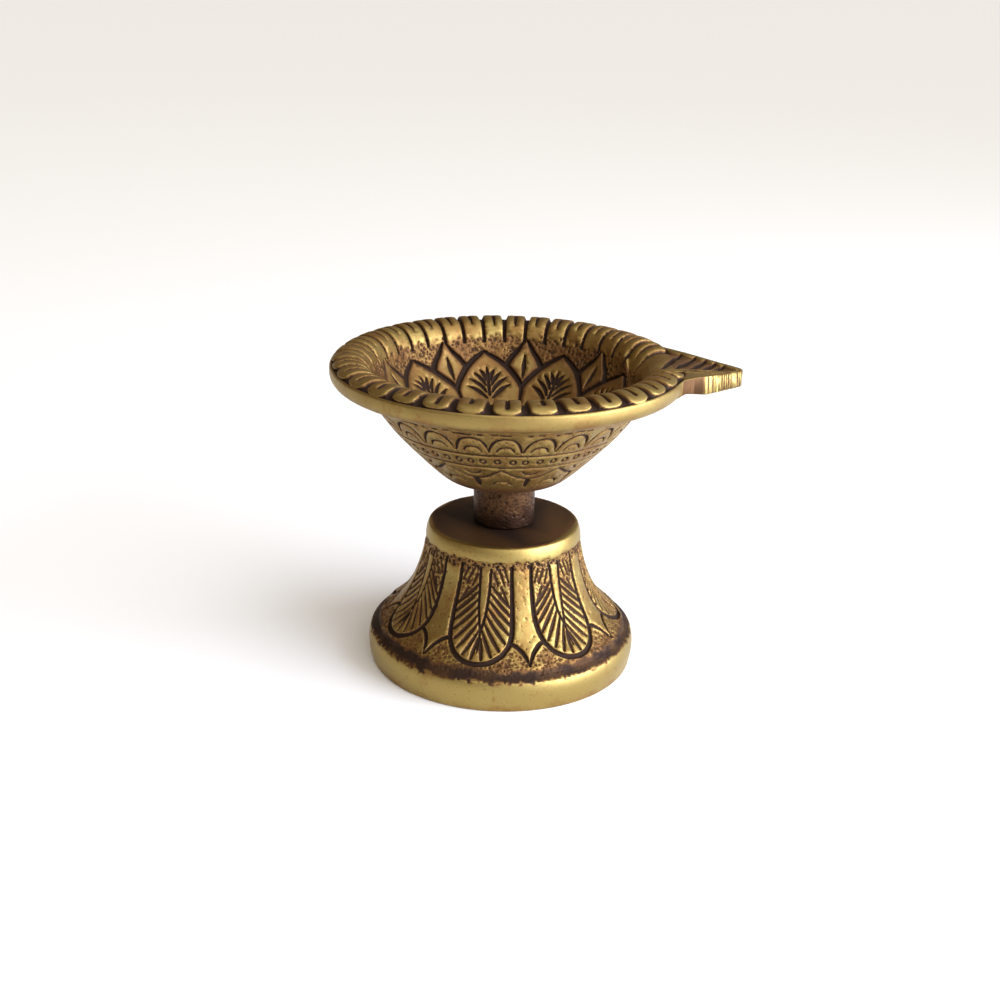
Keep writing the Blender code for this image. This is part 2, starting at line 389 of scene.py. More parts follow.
def clouds(bearing, along, cell, radius, seed):
    """Smooth random values from -1 to 1, in patches of about cell mm, seamless round the lamp."""
    columns = max(3, round(2 * math.pi * radius / cell))
    u = (bearing % 360.0) / 360.0 * columns
    v = along / cell + 50.0
    rows = int(v.max()) + 3
    table = np.random.default_rng(seed).uniform(-1.0, 1.0, (columns, rows))
    i, j = u.astype(int), v.astype(int)
    fu, fv = ease(0.0, 1.0, u - i), ease(0.0, 1.0, v - j)
    left = table[i % columns, j] * (1 - fv) + table[i % columns, j + 1] * fv
    right = table[(i + 1) % columns, j] * (1 - fv) + table[(i + 1) % columns, j + 1] * fv
    return left * (1 - fu) + right * fu


def dents(bearing, along, radius, cell, size, seed):
    """Random round punch marks, 1 at the middle of each and 0 between them."""
    columns = max(3, round(2 * math.pi * float(np.mean(radius)) / cell))
    width = 2 * math.pi * radius / columns
    u = (bearing % 360.0) / 360.0 * columns
    v = along / cell + 50.0
    rows = int(v.max()) + 3
    random = np.random.default_rng(seed).uniform(0.0, 1.0, (3, columns, rows))
    deepest = np.zeros(len(u))
    for di in (-1, 0, 1):
        for dj in (-1, 0, 1):
            i, j = u.astype(int) + di, v.astype(int) + dj
            across, down, share = random[:, i % columns, j]
            gap = np.hypot((u - i - across) * width, (v - j - down) * cell)
            deepest = np.maximum(deepest, 1.0 - gap / (size * (0.35 + 0.9 * share)))
    return ease(0.0, 0.75, deepest)


def matting(bearing, along, radius, seed):
    """Ground matted with a small blunt punch, so that large and small marks crowd each other."""
    large = dents(bearing, along, radius, 0.95, 0.46, seed)
    small = dents(bearing + 7.0, along, radius, 0.62, 0.34, seed + 100)
    return np.maximum(large, 0.75 * small) * (0.65 + 0.35 * clouds(bearing, along, 1.6, 20.0, seed + 200))


def stroke(across, along, radius, points, steps=4):
    """How deep a tapered chisel stroke is at each vertex, 1 on its line and 0 at its edges.

    The points are (degrees across, mm along, half width in mm), joined by a smooth curve.
    """
    line = smooth_through(points, steps) if len(points) > 2 else points
    per_degree = np.radians(radius)
    nearest = np.full(len(across), 9.0)
    for (a0, s0, w0), (a1, s1, w1) in zip(line, line[1:]):
        dx, dy = (a1 - a0) * per_degree, s1 - s0
        px, py = (across - a0) * per_degree, along - s0
        t = np.clip((px * dx + py * dy) / (dx * dx + dy * dy + 1e-9), 0.0, 1.0)
        gap = np.hypot(px - t * dx, py - t * dy)
        nearest = np.minimum(nearest, gap / np.maximum(w0 + (w1 - w0) * t, 0.03))
    return 1.0 - ease(0.5, 1.15, nearest)


class Carving:
    """Cuts and stains on a millimetre mesh, one value for each vertex, made together at the end."""

    def __init__(self, mesh, outlines):
        count = len(mesh.vertices)
        self.mesh = mesh
        self.place = np.empty(count * 3, np.float32)
        mesh.vertices.foreach_get("co", self.place)
        self.place = self.place.reshape(-1, 3).astype(float)
        self.normal = np.empty(count * 3, np.float32)
        mesh.vertex_normals.foreach_get("vector", self.normal)
        self.normal = self.normal.reshape(-1, 3).astype(float)
        x, y, z = self.place.T
        self.radius = np.hypot(x, y)
        self.bearing = np.degrees(np.arctan2(x, -y))  # from the front, towards the spout
        self.along = np.full(count, 99.0)
        self.gap = np.full(count, 99.0)
        for outline, sign in outlines:
            self._measure(outline, sign, z)
        self.cuts = np.zeros(count)
        self.raised = np.zeros(count)
        self.stain_and_shade = np.zeros(count)
        self.polish = np.zeros(count)

    def _measure(self, outline, sign, z):
        """How far along an outline each vertex lies, where that outline is the nearest one."""
        travelled = 0.0
        for (r0, z0), (r1, z1) in zip(outline, outline[1:]):
            length = math.hypot(r1 - r0, z1 - z0)
            if length < 1e-6:
                continue
            t = ((self.radius - r0) * (r1 - r0) + (z - z0) * (z1 - z0)) / length**2
            t = np.clip(t, 0.0, 1.0)
            gap = np.hypot(self.radius - r0 - t * (r1 - r0), z - z0 - t * (z1 - z0))
            closer = gap < self.gap
            self.gap[closer] = gap[closer]
            self.along[closer] = sign * (travelled + t[closer] * length)
            travelled += length

    def zone(self, mask):
        """The vertices in a mask, with their own bearing, along and radius."""
        found = np.flatnonzero(mask)
        return found, self.bearing[found], self.along[found], self.radius[found]

    def cut(self, found, amount, depth, stain_and_shade=1.0):
        """Cuts to a depth in mm where amount is 1, and stains the cut."""
        self.cuts[found] = np.maximum(self.cuts[found], amount * depth)
        self.stain_and_shade[found] = np.maximum(self.stain_and_shade[found], ease(0.05, 0.5, amount) * stain_and_shade)

    def soil_and_shade(self, found, amount):
        """Stains at least this much, without a cut. Some callers paint shade with it."""
        self.stain_and_shade[found] = np.maximum(self.stain_and_shade[found], amount)

    def finish(self, most):
        """Moves the vertices, stores the stain and polish, and thins the mesh."""
        moved = self.place + self.normal * (self.raised - self.cuts)[:, None]
        self.mesh.vertices.foreach_set("co", moved.astype(np.float32).ravel())
        for name, values in (("stain_and_shade", self.stain_and_shade), ("polish", self.polish)):
            layer = self.mesh.attributes.new(name, "FLOAT", "POINT")
            layer.data.foreach_set("value", np.clip(values, 0.0, 1.0).astype(np.float32))
        self.mesh.update()
        return thinned(self.mesh, most)


# --- The bowl ----------------------------------------------------------------------------------

# Bearings of some of the wedges between the ring's tongues, and the number of the tongue after each one
WEDGES = ((-112.5, 0), (-72.15, 4), (83.25, 18), (106.5, 19), (247.5, 34))
SPOUT_TONGUE = 18  # the place that the spout fills
KITES = 9
SCALLOPS, FIRST_SCALLOP = 24, 14.5
RINGS, FIRST_RING = 54, 3.1
LOTUS_PETALS, FIRST_PETAL = 11, -2.0
CHIPS = 75

# How deep the tools go, in mm
WEDGE_DEPTH, SLOT_DEPTH, CHANNEL_DEPTH, VEIN_DEPTH = 0.8, 0.5, 0.62, 0.45
SCALLOP_DEPTH, LOTUS_DEPTH, HATCH_DEPTH, FILE_DEPTH = 0.34, 0.36, 0.42, 0.14

# The lip that the ring falls to behind the spout: places from the axis, and heights over the seat
LIP_PLACES = (23.5, 25.0, 26.5, 28.0, 30.5, 34.0, SPOUT_REACH)
LIP_HEIGHTS = np.array((17.6, 19.9, 21.6, 22.4, 22.75, 22.75, 22.4))
# The underside of the band and the spout, in the same way
BENEATH_PLACES = (29.8, 31.9, 32.7, 33.6, 37.0, SPOUT_REACH)
BENEATH_HEIGHTS = (18.7, 19.5, 20.1, 20.2, 19.3, 19.6)


def carve_ring(bowl):
    """Tongues across the rounded ring, each with a slot, and dark wedges between their ends."""
    near = (bowl.gap < ON_OUTLINE) & (bowl.radius < RIM_RADIUS + 0.2)
    found, bearing, along, radius = bowl.zone(near & (bowl.along > 0.3) & (bowl.along < 11.0))
    angles, numbers = zip(*WEDGES)
    wrapped = (bearing - angles[0]) % 360.0 + angles[0]
    number = np.interp(wrapped, angles, numbers)
    which = np.floor(number)
    left = np.interp(which, numbers, angles)
    right = np.interp(which + 1, numbers, angles)
    wander = np.random.default_rng(31).uniform(-0.5, 0.5, (3, numbers[-1] + 1))
    index = which.astype(int) % (numbers[-1] + 1)
    edge = np.minimum(wrapped - left, right - wrapped)
    middle = wrapped - (left + right) / 2 - 0.7 * wander[0][index]
    tongue = index != SPOUT_TONGUE

    # A tongue's sides are wedges that narrow down the inside of the ring, and its end is rounded off.
    tail = along - 1.0 * wander[1][index]
    wedge = [(0, 0.8, 0.9), (0, 2.4, 0.76), (0, 4.5, 0.6), (0, 7, 0.38), (0, 9.6, 0.06)]
    side = stroke(edge, tail, radius, wedge)
    bowl.cut(found, side * ease(0.5, 0.9, along), WEDGE_DEPTH)
    corner = 2.0  # radius of the tongue's end
    width = np.radians(edge) * radius - 0.45
    start = 0.75 + 0.35 * wander[2][index]
    gap = np.hypot(np.maximum(corner - width, 0.0), np.maximum(start + corner - along, 0.0)) - corner
    bowl.cut(found, ease(0.0, 0.3, gap) * ease(0.35, 0.75, along) * tongue, 0.6)

    slot = stroke(middle, tail, radius, [(0, 2.5, 0.46), (0, 3.8, 0.44), (0, 5.6, 0.32), (0, 7.2, 0.06)])
    bowl.cut(found, slot * tongue, SLOT_DEPTH)
    crown = ease(0.2, 2.9, edge) * ease(0.8, 2.4, along) * ease(9.5, 6.5, along)
    bowl.raised[found] += 0.1 * crown * tongue


def carve_basin(bowl):
    """Narrow kite petals between broad leafy ones, on a punched ground, down to a turned floor."""
    near = bowl.gap < ON_OUTLINE
    found, bearing, along, radius = bowl.zone(near & (bowl.along > 8.5) & (bowl.along < 45.0))
    drawn = bearing + 0.5 * clouds(bearing, along, 6.0, 20.0, 5)
    kite, _ = fold(drawn, KITES, 171.5, 0.8, 6)
    kite = np.abs(kite)
    leaf = 180.0 / KITES - kite
    strength = 1.0 - 0.75 * np.exp(-(((bearing + 98.0) / 20.0) ** 2))  # hands have worn the left side
    down = np.interp(along, (0.0, 10.5, 15.7, 20.6, 45.0), (-1.2, 9.3, 15.6, 22.4, 46.8))

    channels = (
        [(0.6, 9.3, 0.2), (3.6, 11.8, 0.5), (6.6, 13.6, 0.6), (9.1, 15.6, 0.68)],
        [(20.0, 12.0, 0.3), (17.5, 12.9, 0.5), (13.0, 14.4, 0.6), (9.2, 15.9, 0.75)],
        [(9.2, 15.9, 0.75), (5.4, 18.3, 0.68), (2.2, 20.4, 0.62), (0.0, 22.4, 0.5)],
        [(0.0, 22.0, 0.4), (0.0, 26.2, 0.25)],
    )
    for points in channels:
        bowl.cut(found, strength * stroke(kite, down, radius, points), CHANNEL_DEPTH)
        # Painted shade: a soft brown halo round each channel, wider than the channel and a little below it,
        # stained without a cut.
        shade_halo = [(a, s + 0.2, 1.9 * width) for a, s, width in points]
        bowl.cut(found, strength * stroke(kite, down, radius, shade_halo), 0.0, 0.4)

    # One vein on each kite. On each leaf a stem, with blades that spread from low down on it.
    vein = [(0, 13.0, 0.16), (0, 16.0, 0.5), (0, 19.6, 0.12)]
    bowl.cut(found, strength * stroke(kite, down, radius, vein), VEIN_DEPTH)
    stem = [(0, 15.4, 0.16), (0, 18.0, 0.46), (0, 23.4, 0.36)]
    bowl.cut(found, strength * stroke(leaf, down - 0.9, radius, stem), VEIN_DEPTH)
    for root, foot, tip, top in (
        (1.6, 19.4, 4.0, 16.2),
        (1.9, 21.1, 7.5, 17.0),
        (2.1, 22.7, 10.8, 18.7),
        (2.3, 24.1, 13.2, 20.9),
    ):
        middle = ((root + tip) / 2 - 0.5, (top + foot) / 2 - 0.15)
        blade = [(root, foot, 0.26), (*middle, 0.5), (tip, top, 0.14)]
        bowl.cut(found, strength * stroke(leaf, down - 0.9, radius, blade), 0.42)

    # The ground above the petals is punched all over, and the petals stand a little proud of it.
    above = np.interp(kite, (0, 3.4, 8.9, 13, 17.5, 20), (9.3, 11.7, 15.5, 14.3, 12.8, 12.0))
    ragged = 0.9 * clouds(bearing, along, 0.8, 24.0, 10)
    ground = ease(9.0, 11.0, along + ragged) * ease(0.3, -0.3, down - above)
    bowl.cut(found, ground * matting(bearing, along, radius, 7), 0.3, 0.7)
    bowl.raised[found] -= 0.18 * ground
    bloom = 0.5 + 0.5 * clouds(bearing, along, 3.0, 24.0, 8)
    bowl.soil_and_shade(found, (0.2 + 0.25 * bloom) * ground)

    # A groove round the floor, the lathe's ridges inside it, and a film over the whole basin.
    bowl.cut(found, stroke(0 * along, along, radius, [(0, 26.5, 0.3), (0, 26.6, 0.3)]), 0.3)
    ridges = 0.5 + 0.5 * np.cos(along * 2 * math.pi / 0.9)
    bowl.cut(found, ease(27.2, 27.8, along) * ridges, 0.05, 0.25)
    film = ease(9.5, 12.5, along) * (0.19 + 0.09 * clouds(bearing, along, 5.0, 20.0, 9))
    bowl.soil_and_shade(found, film + 0.1 * ease(20.0, 28.0, along))


def carve_wall(bowl):
    """Scallops, two ruled lines with a row of ring punches between, and a row of lotus petals, outside."""
    near = (bowl.gap < ON_OUTLINE) & (bowl.radius < RIM_RADIUS + 0.2)
    found, bearing, along, radius = bowl.zone(near & (bowl.along < 0.0) & (bowl.along > -36.0))
    along = -along
    drawn = bearing + 0.45 * clouds(bearing, along, 5.0, 22.0, 11)
    height = along + 0.12 * clouds(bearing, along, 4.0, 22.0, 12)

    scallop, _ = fold(drawn, SCALLOPS, FIRST_SCALLOP, 0.8, 13)
    scallop = np.abs(scallop)
    arch = [(0.0, 10.9, 0.29), (3.2, 11.4, 0.29), (5.6, 12.7, 0.3), (7.4, 15.0, 0.18)]
    inner = [(0.0, 13.5, 0.23), (2.4, 13.8, 0.23), (4.0, 14.9, 0.14)]
    bowl.cut(found, stroke(scallop, height, radius, arch), SCALLOP_DEPTH)
    bowl.cut(found, stroke(scallop, height, radius, inner), 0.28)

    for place in (16.1, 20.2):
        ruled = [(0, place, 0.25), (0, place + 0.01, 0.25)]
        bowl.cut(found, stroke(0 * height, height, radius, ruled), 0.3)

    ring, which = fold(bearing, RINGS, FIRST_RING, 0.7, 14)
    drop = np.random.default_rng(15).uniform(-0.12, 0.12, RINGS)[which]
    size = np.hypot(np.radians(ring) * radius / 0.6, (height - 18.15 - drop) / 0.8)
    bowl.cut(found, ease(0.42, 0.1, np.abs(size - 0.82)), 0.28)

    petal, _ = fold(drawn, LOTUS_PETALS, FIRST_PETAL, 0.8, 16)
    petal = np.abs(petal)
    half = 180.0 / LOTUS_PETALS
    ogee = [(0.0, 21.3, 0.18), (3.5, 22.4, 0.3), (9.0, 23.9, 0.34)]
    ogee += [(half - 1.5, 24.6, 0.36), (half, 25.0, 0.45)]
    eye = [(0.0, 25.8, 0.25), (4.2, 26.1, 0.25), (6.2, 27.2, 0.12)]
    smile = [(half - 5.0, 21.6, 0.12), (half - 3.2, 22.6, 0.27), (half, 22.95, 0.28)]
    slit = [(half, 24.8, 0.52), (half, 26.4, 0.56), (half, 28.2, 0.24)]
    for points in (ogee, eye, smile, slit):
        bowl.cut(found, stroke(petal, height, radius, points), LOTUS_DEPTH)

    # Chisel chatter in two broken rows where the flange was cut back.
    for row, seed in ((8.3, 17), (9.5, 18)):
        chip, which = fold(bearing, CHIPS, 0.0, 1.0, seed)
        lower, longer, share = np.random.default_rng(seed + 50).uniform(0.0, 1.0, (3, CHIPS))[:, which]
        top = row + 0.5 * lower + 0.15 * clouds(bearing, along, 0.8, 28.0, seed + 9)
        length = 0.3 + 0.9 * longer
        beside = np.abs(np.radians(chip) * radius) - length
        mark = ease(0.34, 0.14, np.abs(along - top)) * ease(0.15, -0.15, beside)
        bowl.cut(found, mark * (share > 0.25), 0.24, 0.9)

    scuffs = dents(bearing, along, radius, 1.7, 0.3, 19)
    bowl.cut(found, scuffs * ease(9.0, 10.0, along), 0.1, 0.5)
    bowl.soil_and_shade(found, 0.5 * ease(27.0, 31.0, along) + 0.08 * ease(20.0, 22.0, along))


def carve_spout(bowl):
    """Hatching under two drawn lines on top of the spout, and file strokes down its sides."""
    x, y, z = bowl.place.T
    top = bowl.normal[:, 2] > 0.6
    found = np.flatnonzero(top & (x > 26.0) & (np.abs(y) < 16.0) & (z > SEAT + 20.0))
    px, py = x[found], y[found]
    panel = ease(1.2, 1.6, bowl.inset[found]) * ease(29.0, 31.5, px) * ease(-0.6, 0.1, py + 1.0)
    bowl.raised[found] -= 0.3 * panel
    bowl.soil_and_shade(found, 0.4 * panel)

    hatches = (
        ((28.8, -0.7), (33.2, 8.8)),
        ((31.2, -1.2), (35.8, 7.2)),
        ((33.7, -1.4), (37.7, 5.7)),
        ((36.0, -1.3), (39.3, 4.1)),
        ((38.2, -0.9), (40.6, 2.3)),
    )
    cuts = [
        [(28.2, -2.2, 0.14), (36.0, -2.3, 0.26), (40.5, -1.3, 0.26), (43.0, 0.0, 0.14)],
        [(30.0, -3.4, 0.14), (36.0, -4.0, 0.26), (40.3, -2.7, 0.12)],
    ]
    for foot, head in hatches:
        middle = ((foot[0] + head[0]) / 2, (foot[1] + head[1]) / 2)
        cuts.append([(*foot, 0.45), (*middle, 0.75), (*head, 0.3)])
    flat = np.full(len(px), math.degrees(1.0))  # makes stroke read its first number as mm
    for points in cuts:
        bowl.cut(found, stroke(px, py, flat, points), HATCH_DEPTH)

    sides = (np.abs(bowl.normal[:, 2]) < 0.5) & (x > 31.0) & (bowl.radius > RIM_RADIUS + 0.1)
    found = np.flatnonzero(sides)
    px = x[found]
    travel = (0.82 * px - 0.57 * np.abs(y[found])) / 0.56 + 0.12 * z[found]  # strokes 0.56 mm apart
    number = np.floor(travel).astype(int)
    depth = np.random.default_rng(23).uniform(0.0, 1.0, number.max() + 1)[number]
    strokes = ease(0.34, 0.1, np.abs(travel - number - 0.5)) * ease(0.15, 0.9, depth)
    bowl.cut(found, strokes * ease(36.0, 37.0, px), FILE_DEPTH, 0.62)
    unpolished = ease(36.4, 35.4, px)
    bowl.soil_and_shade(found, 0.55 * unpolished)
    bowl.polish[found] = 1.0 - unpolished


def spout_outline(sizes):
    """The spout in plan. Its far side is fuller than its near side, and its hollow corner is tighter."""
    angle, corner = sizes.half_angle, sizes.corner_radius
    sides = []
    for half_angle, hollow in ((angle + 8.0, 0.4 * corner), (angle, corner)):
        half = spout_half(SPOUT_REACH, sizes.nose_radius, half_angle, RIM_RADIUS - 0.1, hollow)
        sides.append([(28.0, half[0][1] * 28.0 / half[0][0])] + half)
    far, near = sides
    return far + [(x, -y) for x, y in reversed(near[:-1])]


def edge_distance(x, y, outline):
    """How far each place lies from the nearest edge of a plan outline, in mm."""
    nearest = np.full(len(x), 99.0)
    for (x0, y0), (x1, y1) in zip(outline, outline[1:] + outline[:1]):
        dx, dy = x1 - x0, y1 - y0
        t = np.clip(((x - x0) * dx + (y - y0) * dy) / (dx * dx + dy * dy), 0.0, 1.0)
        nearest = np.minimum(nearest, np.hypot(x - x0 - t * dx, y - y0 - t * dy))
    return nearest


def shape_lip(bowl):
    """Lowers the ring behind the spout to a smooth lip, where the wick lies, and tilts the spout's top."""
    x, y, z = bowl.place.T
    lip = np.interp(x, LIP_PLACES, SEAT + LIP_HEIGHTS)
    within = np.where(y > 0, ease(13.5, 5.0, y), ease(8.0, 4.5, -y)) * ease(22.5, 23.5, x)
    over = np.maximum(z - lip, 0.0)
    bowl.place[:, 2] -= over * within * (bowl.normal[:, 2] > -0.2)

    # Below, the spout grows out of the band's lower edge and thins towards its tip.
    low = SEAT + np.interp(bowl.radius, BENEATH_PLACES, BENEATH_HEIGHTS)
    beneath = (bowl.gap > 0.1) & (x > 26.0) & (np.abs(y) < 18.0) & (z > SEAT + 18.5) & (z < low)
    bowl.place[beneath, 2] = low[beneath]


def make_bowl_casting(sizes):
    """The bowl's section spun and joined with a plate for the spout, then carved all over."""
    outside = bowl_outside()
    inside = bowl_inside()
    inside.append((0.0, inside[-1][1]))
    bore = [(HOLE_RADIUS, SEAT), (HOLE_RADIUS, SEAT + sizes.hole_depth), (0.0, SEAT + sizes.hole_depth)]
    builder = spun(bore[::-1] + outside[::-1] + inside[1:], TURN_STEPS)
    outline = spout_outline(sizes)
    plate(outline, SEAT + 19.2, SEAT + 22.9, builder)

    bowl = Carving(even_mesh(builder, sizes.grain), [(outside, -1), (inside, 1)])
    x, y, _ = bowl.place.T
    bowl.inset = edge_distance(x, y, outline)
    shape_lip(bowl)
    carve_ring(bowl)
    carve_basin(bowl)
    carve_wall(bowl)
    carve_spout(bowl)
    film = 0.1 + 0.05 * clouds(bowl.bearing, bowl.place[:, 2], 6.0, 30.0, 71)
    bowl.stain_and_shade = np.maximum(bowl.stain_and_shade, film * (bowl.polish < 0.5))
    bowl.polish = np.maximum(bowl.polish, 0.45 * ease(2.4, 1.6, np.abs(bowl.along)))
    return bowl.finish(MOST_TRIANGLES)


# --- The base ----------------------------------------------------------------------------------

CEILING = 24.6  # height of the hollow under the disc
FEATHERS, FIRST_FEATHER = 7, -12.2
BARBS = 8
OUTLINE_DEPTH, QUILL_DEPTH, BARB_DEPTH = 0.5, 0.36, 0.38
# Half of a quill: degrees from its middle, at places along
QUILL_ALONG, QUILL_HALF = (4.0, 8.5, 12.5, 15.6), (3.9, 3.3, 2.0, 0.0)
# Where barbs end, by mm travelled round the inside of a feather: degrees from its middle, and along
TIP_TRAVEL = (9.2, 14.0, 16.5, 18.8, 20.9, 22.7)
TIP_ACROSS = (17.0, 17.0, 15.4, 12.0, 7.4, 2.4)
TIP_ALONG = (9.0, 13.6, 16.2, 18.6, 20.2, 21.0)


def carve_bell(base):
    """Seven hanging feathers with plain strips between, below a matted collar, above a dark cove."""
    near = base.gap < ON_OUTLINE
    found, bearing, along, radius = base.zone(near & (base.along > 0.0) & (base.along < 30.0))
    drawn = bearing + 0.5 * clouds(bearing, along, 6.0, 18.0, 41)
    feather, _ = fold(drawn, FEATHERS, FIRST_FEATHER, 0.7, 42)
    side = np.abs(feather)
    half = 180.0 / FEATHERS

    outline = [(18.5, 3.6, 0.36), (18.7, 8.0, 0.44), (18.6, 13.0, 0.5), (17.6, 16.0, 0.52)]
    bottom = [(17.6, 16.0, 0.52), (15.3, 18.2, 0.52), (11.0, 20.3, 0.54)]
    bottom += [(5.5, 21.6, 0.54), (0.0, 22.0, 0.54)]
    bracket = [(17.3, 17.8, 0.38), (20.0, 18.4, 0.44), (23.2, 19.9, 0.44), (half, 22.2, 0.26)]
    for points in (outline, bottom, bracket):
        base.cut(found, stroke(side, along, radius, points), OUTLINE_DEPTH)
    for points in (
        [(3.9, 4.0, 0.3), (3.3, 8.5, 0.3), (2.0, 12.5, 0.27), (0.0, 15.6, 0.26)],
        [(0.0, 15.4, 0.26), (0.0, 19.6, 0.16)],
    ):
        base.cut(found, stroke(side, along, radius, points), QUILL_DEPTH)

    # Barbs leave the quill downwards and fan out to the feather's edge.
    for i in range(BARBS):
        t = i / (BARBS - 1)
        root = 6.9 + 10.0 * t
        quill = float(np.interp(root, QUILL_ALONG, QUILL_HALF)) + 0.9
        travel = 11.2 + 11.6 * t
        tip = [float(np.interp(travel, TIP_TRAVEL, values)) for values in (TIP_ACROSS, TIP_ALONG)]
        middle = (quill + 0.5 * (tip[0] - quill), root + 0.5 * (tip[1] - root))
        points = [(quill, root, 0.18), (*middle, 0.42), (*tip, 0.28)]
        base.cut(found, stroke(side, along, radius, points), BARB_DEPTH, 0.74)

    # Short dashes between the quill and the outline, above the barbs.
    shifted = along + 0.5 * clouds(bearing, 0 * along, 4.0, 16.0, 47)
    for root, head in (
        ((6.0, 4.8), (9.0, 7.2)),
        ((9.6, 4.4), (13.2, 7.0)),
        ((13.4, 4.3), (16.4, 6.6)),
        ((11.6, 7.8), (15.8, 10.4)),
    ):
        dash = [(*root, 0.3), (*head, 0.2)]
        base.cut(found, stroke(side, shifted, radius, dash), 0.32, 0.7)

    # Punched ground: a collar round the top, the upper part of each feather, and below the feathers.
    pits = matting(bearing, along, radius, 43)
    ragged = 0.3 * clouds(bearing, along, 0.9, 15.0, 44)
    collar = ease(2.3, 2.8, along + ragged) * ease(4.6, 3.8, along + ragged)
    within = ease(4.6, 5.4, side) * ease(17.6, 16.8, side)
    upper = within * ease(3.8, 4.6, along) * ease(12.5, 6.5, along + 3.0 * ragged)
    lower_edge = np.interp(side, (0, 11, 15.3, 17.4, 23, half), (22.4, 20.8, 18.8, 18.3, 20.2, 22.4))
    below = ease(0.2, 0.7, along - lower_edge) * ease(24.6, 23.6, along)
    base.cut(found, pits * collar, 0.34, 0.9)
    base.cut(found, pits * upper, 0.22, 0.62)
    base.cut(found, pits * below, 0.22, 0.6)
    base.raised[found] -= 0.12 * collar + 0.1 * below
    specks = dents(bearing, along, radius, 1.7, 0.2, 45)
    base.cut(found, specks * ease(2.6, 3.4, along) * ease(24.0, 23.0, along), 0.12, 0.55)
    bloom = 0.5 + 0.5 * clouds(bearing, along, 2.2, 22.0, 48)
    base.soil_and_shade(found, np.maximum(0.22 * collar, 0.42 * ease(0.2, 0.95, bloom) * below))

    # The cove over the foot keeps its dark coat, worn through in places and ragged at its lower edge. The
    # foot and the shoulder of the bell are polished.
    worn = 0.5 + 0.5 * clouds(bearing, along, 2.6, 24.0, 46)
    fringe = 0.7 * clouds(bearing, along, 0.45, 24.0, 49) * (0.4 + worn)
    cove = ease(21.9, 23.4, along + 2.0 * ragged) * ease(25.7, 25.0, along + ragged + fringe)
    base.raised[found] -= 0.45 * ease(22.4, 24.0, along) * ease(25.6, 24.4, along)
    base.soil_and_shade(found, cove * (0.62 + 0.3 * worn) * ease(1.0, 0.88, worn))
    base.cut(found, cove * pits, 0.1, 0.0)
    base.polish[found] = 0.55 * np.maximum(ease(24.8, 25.4, along), ease(2.6, 2.0, along + ragged))


def make_base_casting(sizes):
    """The base's section spun, hollow underneath, then carved and coated, with painted shade in the disc's
    coat.
    """
    outside = base_outside()
    shoulder = [(14.2, 27.82), (13.7, DISC_TOP), (HOLE_RADIUS, DISC_TOP)]
    hollow = [(22.4, 0.0), (21.8, 5.0), (19.2, 8.4), (16.6, 11.6), (14.8, 15.4), (13.4, 20.0), (12.6, 24.0)]
    hollow = smooth_through(hollow, 4) + [(12.1, CEILING), (HOLE_RADIUS, CEILING)]
    builder = spun(hollow[::-1] + outside[::-1] + shoulder, TURN_STEPS)
    base = Carving(even_mesh(builder, sizes.grain), [(outside, 1)])
    carve_bell(base)

    # The disc's brown coat: even, a little worn at its edge and blotched, and deep enough to serve also as
    # painted shade from the bowl above.
    found = np.flatnonzero((base.normal[:, 2] > 0.85) & (base.radius < 14.6) & (base.place[:, 2] > 26.0))
    blotch = clouds(base.bearing[found], base.radius[found], 2.4, 12.0, 51)
    coat = ease(14.5, 13.1, base.radius[found] + 0.7 * blotch)
    base.soil_and_shade(found, coat * (0.86 + 0.16 * blotch))
    base.polish[found] = 1.0 - coat
    inside = np.flatnonzero(base.gap > 1.0)
    base.soil_and_shade(inside, 0.45 * (base.place[inside, 2] < CEILING + 0.2))
    return base.finish(MOST_TRIANGLES)


# --- The stem and the fastening ----------------------------------------------------------------

THREAD_PITCH = 1.0  # M6 coarse
THREAD_DEPTH = 0.5  # of the rod's thread
GAP = 0.3  # clearance between the frame's solids, which the finished pieces close


def evenly(points, grain):
    """The closed outline with extra points, so that none of its sides is longer than the grain."""
    dense = []
    for (r0, z0), (r1, z1) in zip(points, points[1:] + points[:1]):
        parts = max(1, math.ceil(math.hypot(r1 - r0, z1 - z0) / grain))
        dense += [(r0 + (r1 - r0) * i / parts, z0 + (z1 - z0) * i / parts) for i in range(parts)]
    return dense


def thread_depth(bearing, height, depth):
    """Depth of a right-hand thread at each vertex, 0 on its crest."""
    turns = (height - bearing / 360.0 * THREAD_PITCH) / THREAD_PITCH
    return depth * np.clip(2.4 * np.abs(turns % 1.0 - 0.5) - 0.1, 0.0, 1.0)


def mesh_of(builder):
    mesh = bpy.data.meshes.new("work")
    builder.to_mesh(mesh)
    builder.free()
    return mesh


